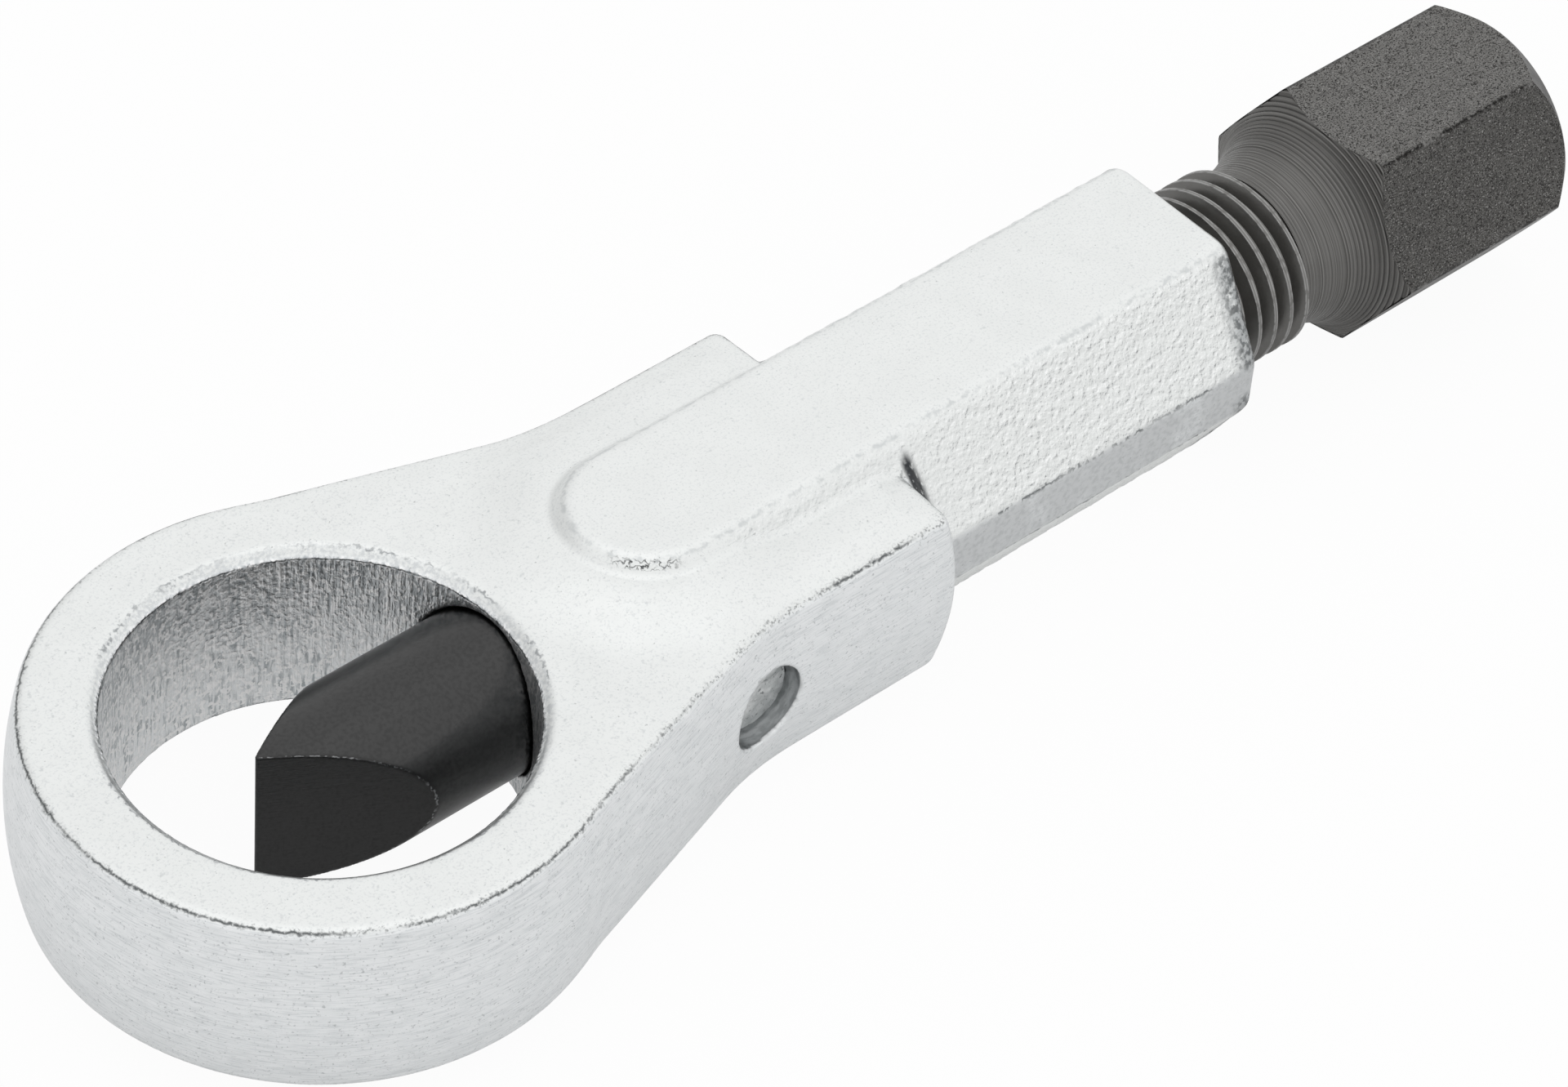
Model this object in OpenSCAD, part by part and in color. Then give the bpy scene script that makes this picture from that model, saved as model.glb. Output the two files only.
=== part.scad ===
// Nut splitter: a forged ring body, a keyed chisel that slides in it, and a hex-headed screw that drives the chisel.
// Modules draw along the screw axis with the ring centre at x = 0; the last lines move the tool so that
// it rests on its lower flat with the origin under the middle of its length. Sizes are millimetres.

/* [Ring] */
// Inside diameter of the ring that goes round the nut
ring_bore_d = 36; // [34:0.5:40]
// Ring wall at mid height, where it is thickest
ring_wall = 7.8; // [7:0.1:10]
// How much the outer side falls away from mid height to each face (forging draft)
side_draft = 1.1; // [0.6:0.1:1.6]
// Ring thickness from face to face
ring_t = 18.4; // [17:0.2:20]
// Bevel round both ends of the ring bore
bore_bevel = 0.7; // [0.3:0.1:1.2]
// Rounding of the outer edges of the ring
edge_r = 0.8; // [0.4:0.1:1.2]

/* [Ears] */
// Where the straight ears begin, from the ring centre
ear_start = 35; // [34:0.5:38]
// Length of the straight ears
ear_len = 21.2; // [18:0.2:26]
// Width over the ears at mid height
ear_w = 32; // [30:0.5:36]
// Thickness of web and ears along their outer edges
ear_t = 17; // [15.6:0.2:17.4]
// Width of the sloped shoulder along those edges
shoulder_w = 4; // [2:0.1:5]
// Rounding of the ear corners
ear_corner_r = 1.8; // [1:0.1:2.5]
// Hollow rounding between ear end and shank
ear_fillet_r = 2.2; // [1.5:0.1:3]

/* [Shank] */
// Width of the upper and lower flats
flat_w = 14; // [12:0.5:15]
// Height from the lower flat to the upper flat
shank_h = 24; // [23.6:0.2:26]
// Width over the flanks at mid height
shank_w = 24.9; // [23.5:0.1:26.5]
// Upright band at mid height where the flanks meet
flash_band = 3.7; // [2:0.1:4.4]
// Centre of the rounded nose in front of the shank, from the ring centre
nose_x = 34.5; // [33:0.5:36]
// End of the shank, from the ring centre
shank_end = 96.8; // [92:0.1:100]
// Bevel of the edges at the shank end
shank_edge = 0.8; // [0.5:0.1:1.4]

/* [Guide] */
// Chisel diameter
chisel_d = 15.2; // [14.4:0.1:15.4]
// Gap between chisel and guide bore, on the radius
chisel_gap = 0.2; // [0.1:0.05:0.3]
// Length of the guide bore, from the ring wall
guide_len = 36; // [34:0.5:38]
// Middle of the side hole for the guide pin, from the ring centre
pin_x = 34.9; // [34.5:0.1:36]
// Diameter of the side hole, which the guide pin fills
pin_d = 8; // [7:0.1:8.4]
// How far the pin end sits below the side of the ear
pin_sink = 2.8; // [2:0.1:3.5]
// Diameter of the pin's nose, which runs in the keyway
key_d = 4.6; // [4:0.1:5]

/* [Chisel] */
// How far the cutting edge stands past the ring centre
tip_reach = 6.7; // [4:0.1:8]
// Half of the wedge angle at the cutting edge
wedge_half = 30; // [26:1:34]
// Width of the blunted cutting edge
edge_flat = 0.3; // [0.2:0.05:0.5]
// Rear end of the chisel, from the ring centre
chisel_end = 64; // [63:0.5:66]
// Depth of the socket in the chisel's rear end
socket_depth = 12; // [11:0.5:13]
// Diameter of the thrust ball at the bottom of the socket
ball_d = 6; // [5:0.1:6.5]

/* [Spindle] */
// Outside diameter of the thread
thread_d = 18; // [17:0.5:18]
// Gap between thread and threaded bore, on the radius
thread_gap = 0.1; // [0.05:0.05:0.2]
// End of the thread next to the neck, from the ring centre
thread_end = 106.5; // [105:0.5:109]
// Diameter of the slimmest part of the turned neck
neck_d = 15.8; // [14.6:0.1:16]
// Width across the flats of the hex head
hex_af = 22; // [21:0.5:24]
// Where the turned neck runs out on the hex corners, from the ring centre
hex_start = 116.6; // [115:0.1:119]
// Length of the hex head from there
hex_len = 21.3; // [18:0.1:26]
// Bevel on the hex end, in from the corners
hex_bevel = 2; // [1.2:0.1:2.4]
// Turn of the hex at rest: angle of one corner above level on the pin side
hex_turn = 56.5; // [0:0.5:60]
// Diameter of the nose that enters the chisel socket
nose_d = 8; // [7.6:0.1:8.4]
// Gap between nose and socket, on the radius
nose_gap = 0.2; // [0.1:0.05:0.3]
// Wire of the retaining ring
wire_d = 1.2; // [1:0.1:1.4]

/* [Hidden] */
fn_round = 96;
fn_small = 48;
fn_wire = 20;
over = 1;
ring_r = ring_bore_d / 2 + ring_wall;
ear_end = ear_start + ear_len;
web_drop = 0.05;
web_half = ring_t / 2 - web_drop;
web_sink = 0.3;
web_r = ring_r - web_sink;
web_reach = norm([ear_start, ear_w / 2]);
web_turn = atan2(ear_w / 2, ear_start) + acos(web_r / web_reach);
web_back = web_r * cos(web_turn);
corner_out = 0.2;
guide_r = chisel_d / 2 + chisel_gap;
guide_end = ring_bore_d / 2 + guide_len;
thread_r = thread_d / 2;
thread_bore_r = thread_r + thread_gap;
mouth_bevel = 0.9;
flank_lean = atan2(shank_w - flat_w, shank_h - flash_band);
flank_out = shank_w / 2 * cos(flank_lean) + flash_band / 2 * sin(flank_lean);
mid_side = ear_w / 2;
pin_out = mid_side - pin_sink;
pin_gap = 0.01;
pin_r = pin_d / 2 - pin_gap;
shoulder_gap = 0.3;
pin_shoulder = guide_r + shoulder_gap;
key_gap = 0.2;
key_depth = 2.2;
key_floor = chisel_d / 2 - key_depth;
pin_tip = key_floor + key_gap;
pin_bevel = 0.4;
travel_back = 15;
travel_forward = 9.5;
key_front = pin_x - travel_back - key_gap;
key_back = pin_x + travel_forward + key_gap;
key_r = key_d / 2 + key_gap;
rear_bevel = 0.6;
socket_r = nose_d / 2 + nose_gap;
socket_floor = chisel_end - socket_depth;
ball_gap = 0.05;
nose_front = socket_floor + ball_d + ball_gap;
end_gap = 0.3;
thread_start = chisel_end + end_gap;
thread_lead = 1.2;
groove_x = (nose_front + chisel_end) / 2;
wire_gap = 0.05;
wire_path_r = (nose_d / 2 + socket_r) / 2;
groove_half = wire_d / 2 + wire_gap;
ring_open = 40;
hex_corner_r = hex_af / sqrt(3);
neck_rise = hex_corner_r - neck_d / 2;
thread_runout = 1;
neck_x = thread_end + thread_runout;
neck_run = hex_start - neck_x;
neck_r = (neck_run * neck_run + neck_rise * neck_rise) / (2 * neck_rise);
neck_steps = 12;
hex_end = hex_start + hex_len;
hex_proud = 0.5;
hex_turned_r = hex_corner_r + hex_proud;
neck_sweep = acos(1 - (hex_turned_r - neck_d / 2) / neck_r);
hex_bevel_len = (hex_bevel + hex_proud) * tan(30);
mid_x = (hex_end - ring_r) / 2;
rest_z = shank_h / 2;

// Rounded and drafted side of the ring from its lower to its upper face, as [radius, z]
function ring_side() =
    let (half = ring_t / 2, edge_z = half - edge_r, corner_r = ring_r - side_draft * edge_z / half)
    concat([for (a = [-90 : 30 : 0]) [corner_r - edge_r + edge_r * cos(a), -edge_z + edge_r * sin(a)]],
           [for (k = [-2 : 2]) let (z = edge_z * k / 3) [ring_r - side_draft * pow(z / half, 2), z]],
           [for (a = [0 : 30 : 90]) [corner_r - edge_r + edge_r * cos(a), edge_z + edge_r * sin(a)]]);

module ring_blank() {
    rotate_extrude($fn = fn_round)
        polygon(concat([[0, -ring_t / 2]], ring_side(), [[0, ring_t / 2]]));
}

module along_x(x) {
    translate([x, 0, 0])
        rotate([0, 90, 0])
            children();
}

// Sweeps a section drawn as [y, z] along x
module swept_x(x, length) {
    translate([x, 0, 0])
        rotate([90, 0, 90])
            linear_extrude(length)
                children();
}

// Space outside a drafted edge with its shoulder, swept along the edge from before x = 0 to past the ears
module edge_space() {
    rise = web_half - ear_t / 2;
    top = web_half + rise;
    swept_x(-ear_end, 3 * ear_end)
        polygon([[0, 0], [-side_draft, ear_t / 2], [-side_draft - 2 * shoulder_w, top], [ring_r, top],
                 [ring_r, -top], [-side_draft - 2 * shoulder_w, -top], [-side_draft, -ear_t / 2]]);
}

// Space beside web and ear: outside the web's line to the ring and outside the ear's straight side
module side_space() {
    intersection() {
        translate([web_back, web_r * sin(web_turn), 0])
            rotate([0, 0, web_turn - 90])
                edge_space();
        translate([0, ear_w / 2, 0])
            edge_space();
    }
}

// Plan of web and ears before their sides are cut, with the outer corners of both ears rounded
module ear_plan() {
    inner_x = ear_end - ear_corner_r;
    inner_y = ear_w / 2 + corner_out - ear_corner_r;
    translate([web_back, -ring_r])
        square([inner_x - web_back, 2 * ring_r]);
    translate([web_back, -inner_y])
        square([ear_end - web_back, 2 * inner_y]);
    for (side = [-1, 1])
        translate([inner_x, side * inner_y])
            circle(r = ear_corner_r, $fn = fn_small);
}

module web_and_ears() {
    difference() {
        linear_extrude(2 * web_half, center = true)
            ear_plan();
        for (side = [0, 1])
            mirror([0, side, 0])
                side_space();
    }
}

// Half of the shank section as [half width, z]
function shank_side() = [[flat_w / 2, -shank_h / 2], [shank_w / 2, -flash_band / 2], [shank_w / 2, flash_band / 2],
                         [flat_w / 2, shank_h / 2]];

module shank_section() {
    polygon(concat(shank_side(), [for (i = [3 : -1 : 0]) [-shank_side()[i][0], shank_side()[i][1]]]));
}

// Space outside the bevel at the shank end, along the side of the section that faces the angle at the distance out
module end_bevel(angle, out) {
    translate([shank_end - shank_edge, 0, 0])
        rotate([angle, 0, 0])
            translate([0, out, 0])
                rotate([0, 0, 45])
                    translate([0, -shank_h / 2, -shank_h])
                        cube([shank_h, shank_h, 2 * shank_h]);
}

module shank() {
    difference() {
        swept_x(nose_x, shank_end - nose_x)
            shank_section();
        for (half = [0, 180]) {
            end_bevel(half, shank_w / 2);
            end_bevel(half + flank_lean, flank_out);
            end_bevel(half + 90, shank_h / 2);
            end_bevel(half - flank_lean, flank_out);
        }
    }
    translate([nose_x, 0, 0])
        rotate([0, 0, 90])
            rotate_extrude(angle = 180, $fn = fn_round)
                polygon(concat([[0, -shank_h / 2]], shank_side(), [[0, shank_h / 2]]));
}

// Hollow rounding up one flank, from mid height, where the ear ends on the shank
module ear_fillet() {
    translate([ear_end, shank_w / 2, flash_band / 2])
        rotate([flank_lean, 0, 0])
            linear_extrude(ear_t)
                difference() {
                    translate([-ear_fillet_r, -ear_fillet_r])
                        square(2 * ear_fillet_r);
                    translate([ear_fillet_r, ear_fillet_r])
                        circle(r = ear_fillet_r, $fn = fn_small);
                }
}

module ear_fillets() {
    intersection() {
        for (side = [0, 1], half = [0, 1])
            mirror([0, side, 0])
                mirror([0, 0, half])
                    ear_fillet();
        translate([ear_start, -ear_w / 2, -ear_t / 2 + edge_r])
            cube([ear_len + 2 * ear_fillet_r, ear_w, ear_t - 2 * edge_r]);
    }
}

module ring_bore() {
    half = ring_t / 2;
    mouth_r = ring_bore_d / 2 + bore_bevel;
    rotate_extrude($fn = fn_round)
        polygon([[0, -half - over], [mouth_r + over, -half - over], [ring_bore_d / 2, -half + bore_bevel],
                 [ring_bore_d / 2, half - bore_bevel], [mouth_r + over, half + over], [0, half + over]]);
}

module forged_body() {
    color("Gainsboro")
        difference() {
            union() {
                ring_blank();
                web_and_ears();
                ear_fillets();
                shank();
            }
            ring_bore();
            along_x(0)
                cylinder(h = guide_end + over, r = guide_r, $fn = fn_round);
            along_x(guide_end)
                cylinder(h = shank_end - guide_end + over, r = thread_bore_r, $fn = fn_round);
            along_x(shank_end - mouth_bevel)
                cylinder(h = mouth_bevel + over, r1 = thread_bore_r, r2 = thread_bore_r + mouth_bevel + over,
                         $fn = fn_round);
            translate([pin_x, 0, 0])
                rotate([90, 0, 0])
                    cylinder(h = mid_side + over, d = pin_d, $fn = fn_small);
        }
}

module guide_pin() {
    color("Silver")
        translate([pin_x, 0, 0])
            rotate([90, 0, 0])
                rotate_extrude($fn = fn_small)
                    polygon([[0, pin_tip], [key_d / 2 - pin_bevel, pin_tip], [key_d / 2, pin_tip + pin_bevel],
                             [key_d / 2, pin_shoulder], [pin_r, pin_shoulder], [pin_r, pin_out - pin_bevel],
                             [pin_r - pin_bevel, pin_out], [0, pin_out]]);
}

// Plan of the chisel with its wedge, as [x, y]
function wedge_plan() =
    let (run = (chisel_d / 2 + over - edge_flat / 2) / tan(wedge_half))
    [[-tip_reach, -edge_flat / 2], [-tip_reach + run, -chisel_d / 2 - over], [chisel_end, -chisel_d / 2 - over],
     [chisel_end, chisel_d / 2 + over], [-tip_reach + run, chisel_d / 2 + over], [-tip_reach, edge_flat / 2]];

module chisel_blank() {
    bar_len = chisel_end + tip_reach;
    along_x(-tip_reach)
        rotate_extrude($fn = fn_round)
            polygon([[0, 0], [chisel_d / 2, 0], [chisel_d / 2, bar_len - rear_bevel],
                     [chisel_d / 2 - rear_bevel, bar_len], [0, bar_len]]);
}

module keyway() {
    translate([key_front, -chisel_d, -key_r])
        cube([key_back - key_front, chisel_d - key_floor, 2 * key_r]);
    for (x = [key_front, key_back])
        translate([x, -key_floor, 0])
            rotate([90, 0, 0])
                cylinder(h = chisel_d, r = key_r, $fn = fn_small);
}

module chisel() {
    color("DimGray")
        difference() {
            intersection() {
                chisel_blank();
                linear_extrude(chisel_d + over, center = true)
                    polygon(wedge_plan());
            }
            keyway();
            along_x(socket_floor)
                cylinder(h = socket_depth + over, r = socket_r, $fn = fn_small);
            along_x(groove_x)
                cylinder(h = 2 * groove_half, r = wire_path_r + groove_half, center = true, $fn = fn_small);
        }
}

module thrust_ball() {
    color("White")
        translate([socket_floor + ball_d / 2, 0, 0])
            sphere(d = ball_d, $fn = fn_small);
}

// Turned outline of the spindle as [radius, x]; at the head it stands clear of the hex corners
function spindle_outline() = concat(
    [[0, nose_front], [nose_d / 2, nose_front], [nose_d / 2, groove_x - groove_half],
     [wire_path_r - groove_half, groove_x - groove_half], [wire_path_r - groove_half, groove_x + groove_half],
     [nose_d / 2, groove_x + groove_half], [nose_d / 2, thread_start], [thread_r - thread_lead, thread_start],
     [thread_r, thread_start + thread_lead], [thread_r, thread_end]],
    [for (k = [0 : neck_steps]) let (a = neck_sweep * k / neck_steps)
        [neck_d / 2 + neck_r * (1 - cos(a)), neck_x + neck_r * sin(a)]],
    [[hex_turned_r, hex_end - hex_bevel_len], [hex_corner_r - hex_bevel, hex_end], [0, hex_end]]);

module spindle() {
    color("SlateGray")
        intersection() {
            along_x(0)
                rotate_extrude($fn = fn_round)
                    polygon(spindle_outline());
            along_x(nose_front - over)
                rotate([0, 0, -90 - hex_turn])
                    cylinder(h = hex_end - nose_front + 2 * over, r = hex_corner_r, $fn = 6);
        }
}

module retaining_ring() {
    color("Gold")
        along_x(groove_x)
            rotate([0, 0, ring_open / 2])
                rotate_extrude(angle = 360 - ring_open, $fn = fn_small)
                    translate([wire_path_r, 0])
                        circle(d = wire_d, $fn = fn_wire);
}

module rested() {
    translate([-mid_x, 0, rest_z])
        children();
}

rested() forged_body();
rested() guide_pin();
rested() chisel();
rested() thrust_ball();
rested() spindle();
rested() retaining_ring();
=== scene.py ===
"""Nut splitter, dressed for rendering: a zinc-plated forged body, a black chisel and a dark screw spindle.

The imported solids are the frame. Body and chisel are meshed from distance fields, so that forged blends,
hammered flanks and worn edges are real shape. Spindle and pin are turned grids, the spindle with a true
right-hand thread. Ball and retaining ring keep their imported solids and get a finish.
Sizes are millimetres, measured from the ring centre with x along the screw, until a mesh is made.
"""

from __future__ import annotations

import logging
import math
from collections.abc import Callable, Mapping
from dataclasses import dataclass
from enum import Enum

import bmesh
import bpy
import numpy as np
import openvdb
from mathutils import Matrix, Vector, noise

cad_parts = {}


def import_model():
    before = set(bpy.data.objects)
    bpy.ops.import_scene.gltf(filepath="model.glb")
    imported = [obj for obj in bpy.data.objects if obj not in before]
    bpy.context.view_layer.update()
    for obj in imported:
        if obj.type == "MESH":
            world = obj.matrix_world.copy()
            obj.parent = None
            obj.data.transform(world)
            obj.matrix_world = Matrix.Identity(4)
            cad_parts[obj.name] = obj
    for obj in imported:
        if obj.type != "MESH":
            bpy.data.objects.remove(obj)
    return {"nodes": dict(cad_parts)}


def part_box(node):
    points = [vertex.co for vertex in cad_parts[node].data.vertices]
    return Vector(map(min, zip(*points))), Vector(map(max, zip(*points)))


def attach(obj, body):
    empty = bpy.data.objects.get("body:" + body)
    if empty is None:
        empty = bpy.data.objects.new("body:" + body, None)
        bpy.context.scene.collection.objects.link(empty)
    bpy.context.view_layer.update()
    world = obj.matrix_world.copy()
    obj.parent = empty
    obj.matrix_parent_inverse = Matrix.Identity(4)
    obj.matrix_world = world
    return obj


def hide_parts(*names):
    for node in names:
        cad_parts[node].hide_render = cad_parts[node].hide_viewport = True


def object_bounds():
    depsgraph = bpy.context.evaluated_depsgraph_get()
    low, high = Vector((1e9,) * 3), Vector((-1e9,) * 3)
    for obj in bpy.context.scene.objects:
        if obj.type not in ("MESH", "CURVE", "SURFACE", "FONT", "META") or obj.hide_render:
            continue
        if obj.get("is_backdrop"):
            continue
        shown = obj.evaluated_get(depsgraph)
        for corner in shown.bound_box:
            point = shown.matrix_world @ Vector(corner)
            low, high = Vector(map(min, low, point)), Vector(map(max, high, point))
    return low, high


LOG = logging.getLogger("nut_splitter")
MM = 0.001
# Sockets of a Mix node that mixes colours
MIX_A, MIX_B, MIX_RESULT = 6, 7, 2
# Nearly all of Blender's noise lies between these values
NOISE_LOW, NOISE_HIGH = 0.3, 0.7
# What a line's layer holds where the line is nowhere near, in millimetres
FAR = 9.0
# How near a point lies to a surface that it is on, in millimetres
TOUCH = 0.01

Field = Callable[[np.ndarray, np.ndarray, np.ndarray], np.ndarray]
# Place along a turned piece and radius at each column, row by row
Rows = list[tuple[np.ndarray, np.ndarray]]
Tree = bpy.types.NodeTree
Socket = bpy.types.NodeSocket


class Body(Enum):
    """The moving bodies of the part."""

    FRAME = "frame"
    CHISEL = "chisel"
    SPINDLE = "spindle"


class Zone(Enum):
    """Mesh layers that tell a finish where it is; those named _mm are distances from a line."""

    RIM = "rim_mm"
    MOUTH = "mouth_mm"
    FLAT_EDGE = "flat_edge_mm"
    BAND_EDGE = "band_edge_mm"
    SHANK_END = "shank_end"
    ROOT_SHADE = "root"
    CHIP = "chip"
    WORN = "worn"
    GROUND = "ground"
    BAND = "band"
    ROUGH = "rough"
    BORE = "bore"
    BORE_TOP_SHADE = "bore_top"
    HOLE = "hole"
    WEDGE = "wedge"
    WEDGE_EDGE = "wedge_edge_mm"
    CREST = "crest"
    THREAD = "thread"
    NECK = "neck"
    NECK_RING = "neck_ring_mm"
    NECK_SHADE = "neck_groove"
    HEX = "hex"
    HEX_TOP_LIGHT = "hex_worn"
    HEX_EDGE = "hex_edge_mm"


class Kind(Enum):
    """Blender's names for the shader nodes."""

    PLACE = "ShaderNodeTexCoord"
    LAYER = "ShaderNodeAttribute"
    VECTOR = "ShaderNodeVectorMath"
    NOISE = "ShaderNodeTexNoise"
    WINDOW = "ShaderNodeMapRange"
    MATH = "ShaderNodeMath"
    MIX = "ShaderNodeMix"
    BUMP = "ShaderNodeBump"
    RAY = "ShaderNodeLightPath"
    DIFFUSE = "ShaderNodeBsdfDiffuse"
    GLOW = "ShaderNodeEmission"
    MIX_SHADER = "ShaderNodeMixShader"


def linear(hex_colour: str) -> tuple[float, float, float, float]:
    """Turns an sRGB hex colour into linear RGBA.

    Args:
        hex_colour: Colour such as "#C8CACB".

    Returns:
        Red, green and blue as linear values, and an alpha of 1.
    """
    parts = [int(hex_colour[i : i + 2], 16) / 255 for i in (1, 3, 5)]
    straight = [c / 12.92 if c <= 0.04045 else ((c + 0.055) / 1.055) ** 2.4 for c in parts]
    return (straight[0], straight[1], straight[2], 1.0)


def add_node(
    tree: Tree,
    kind: Kind,
    settings: Mapping[str | int, object] | None = None,
    links: Mapping[str | int, Socket] | None = None,
    out: str | int = 0,
) -> Socket:
    """Adds a node, sets its properties or unlinked inputs, and links the rest.

    Args:
        tree: Node tree to add to.
        kind: Kind of node.
        settings: Property or input names with their values.
        links: Input names or numbers with the output socket that feeds them.
        out: Name or number of the output that is wanted.

    Returns:
        That output socket of the new node.
    """
    made = tree.nodes.new(kind.value)
    for name, value in (settings or {}).items():
        if isinstance(name, str) and hasattr(made, name):
            setattr(made, name, value)
        else:
            made.inputs[name].default_value = value
    for name, source in (links or {}).items():
        tree.links.new(source, made.inputs[name])
    return made.outputs[out]


def smooth_min(a: np.ndarray, b: np.ndarray, blend: float | np.ndarray) -> np.ndarray:
    """Joins two distance fields with a hollow blend of about that radius."""
    share = np.clip(0.5 + 0.5 * (b - a) / blend, 0.0, 1.0)
    return b + (a - b) * share - blend * share * (1.0 - share)


def smooth_max(a: np.ndarray, b: np.ndarray, blend: float) -> np.ndarray:
    """Keeps what two distance fields share, with an edge rounded to about that radius."""
    return -smooth_min(-a, -b, blend)


def smooth_step(low: float, high: float, value: np.ndarray) -> np.ndarray:
    """Rises smoothly from 0 at low to 1 at high."""
    share = np.clip((value - low) / (high - low), 0.0, 1.0)
    return share * share * (3.0 - 2.0 * share)


def near(distance: np.ndarray, full: float, none: float) -> np.ndarray:
    """Falls smoothly from 1 where a distance is within full to 0 where it is beyond none."""
    return smooth_step(none, full, np.abs(distance))


def field_slope(field: Field, points: np.ndarray, step: float = 0.02) -> np.ndarray:
    """Gives the slope of a field at points.

    Args:
        field: Distance field.
        points: Points, one to a row.
        step: Half of the distance that the slope is taken over.

    Returns:
        One slope vector to a row.
    """
    slope = np.empty_like(points)
    for axis in range(3):
        offset = np.zeros(3)
        offset[axis] = step
        ahead = field(*(points + offset).T)
        behind = field(*(points - offset).T)
        slope[:, axis] = (ahead - behind) / (2 * step)
    return slope


def mesh_field(
    field: Field,
    low: Vector,
    high: Vector,
    cell: float,
    margin: int = 3,
    passes: int = 3,
    least: float = 0.1,
) -> tuple[np.ndarray, np.ndarray]:
    """Meshes the zero surface of a distance field and draws its points onto that surface.

    Args:
        field: Distance field, negative inside the solid.
        low: Lowest corner of the solid.
        high: Highest corner of the solid.
        cell: Mesh size.
        margin: Cells that are added round the solid.
        passes: How often the points are drawn to the surface.
        least: Least squared slope, which keeps the steps short where the field is almost level.

    Returns:
        Points and the quads between them, facing out.
    """
    start = np.array(low) - margin * cell
    stop = np.array(high) + margin * cell
    axes = [np.arange(a, b, cell, dtype=np.float32) for a, b in zip(start, stop)]
    values = field(*np.meshgrid(*axes, indexing="ij", sparse=True))
    grid = openvdb.FloatGrid(cell)
    grid.copyFromArray(np.ascontiguousarray(values, dtype=np.float32))
    points, quads = grid.convertToQuads()
    points = points.astype(float) * cell + start
    for _ in range(passes):
        slope = field_slope(field, points)
        steepness = np.maximum((slope * slope).sum(axis=1), least)
        points -= slope * (field(*points.T) / steepness)[:, None]
    return points, quads


def noise_at(points: np.ndarray, grain: float, octaves: int = 3) -> np.ndarray:
    """Gives smooth noise between about -1 and 1 at points.

    Args:
        points: Points, one to a row.
        grain: Size of one lump of the noise.
        octaves: How many finer layers are added.

    Returns:
        One value to a point.
    """
    # Each finer layer is half as high and half as wide as the one before
    fall, finer = 1.0, 2.0
    return np.array([noise.fractal(Vector(p), fall, finer, octaves) for p in points / grain])


@dataclass(frozen=True)
class Pattern:
    """Noise of a real size, cut to a soft-edged mask.

    Attributes:
        size: Length of one lump in millimetres, or its lengths along x, y and z.
        low: Noise value where the mask is 0.
        high: Noise value where the mask is full.
        most: What the mask reaches where it is full.
        detail: How many finer layers the noise has.
    """

    size: float | tuple[float, float, float]
    low: float
    high: float
    most: float = 1.0
    detail: float = 2.0

    def mask(self, tree: Tree, place: Socket) -> Socket:
        """Adds the mask's nodes.

        Args:
            tree: Node tree of the finish.
            place: Place on the piece in metres.

        Returns:
            The mask's value.
        """
        sizes = (self.size,) * 3 if isinstance(self.size, float) else self.size
        per_metre = tuple(1 / (s * MM) for s in sizes)
        place = add_node(tree, Kind.VECTOR, {"operation": "MULTIPLY", 1: per_metre}, {0: place})
        value = add_node(tree, Kind.NOISE, {"Scale": 1.0, "Detail": self.detail}, {"Vector": place})
        window = {"interpolation_type": "SMOOTHSTEP", "From Min": self.low, "From Max": self.high}
        return add_node(tree, Kind.WINDOW, window | {"To Max": self.most}, {"Value": value})


@dataclass(frozen=True)
class Line:
    """Thin ragged line along an edge.

    Attributes:
        layer: Layer with the distance from the edge in millimetres.
        half: Half of the line's width in millimetres.
        stray: How far it strays to either side in millimetres.
        lump: Length of one stray in millimetres.
        offset: Distance of the line from the edge in millimetres.
    """

    layer: Zone
    half: float
    stray: float
    lump: float = 0.6
    offset: float = 0.0

    def mask(self, tree: Tree, place: Socket) -> Socket:
        """Adds the line's nodes.

        Args:
            tree: Node tree of the finish.
            place: Place on the piece in metres.

        Returns:
            1 on the line and 0 off it.
        """
        layer = add_node(tree, Kind.LAYER, {"attribute_name": self.layer.value}, out="Fac")
        in_lumps = {"operation": "SCALE", "Scale": 1 / (self.lump * MM)}
        place = add_node(tree, Kind.VECTOR, in_lumps, {0: place})
        stray = add_node(tree, Kind.NOISE, {"Scale": 1.0, "Detail": 3.0}, {"Vector": place})
        reach = {"From Min": NOISE_LOW, "From Max": NOISE_HIGH, "To Min": -self.stray, "To Max": self.stray}
        stray = add_node(tree, Kind.WINDOW, reach, {"Value": stray})
        across = add_node(tree, Kind.MATH, {"operation": "ADD"}, {0: layer, 1: stray})
        across = add_node(tree, Kind.MATH, {"operation": "SUBTRACT", 1: self.offset}, {0: across})
        across = add_node(tree, Kind.MATH, {"operation": "ABSOLUTE"}, {0: across})
        window = {"interpolation_type": "SMOOTHSTEP", "From Min": self.half, "From Max": 0.0}
        return add_node(tree, Kind.WINDOW, window, {"Value": across})


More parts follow.
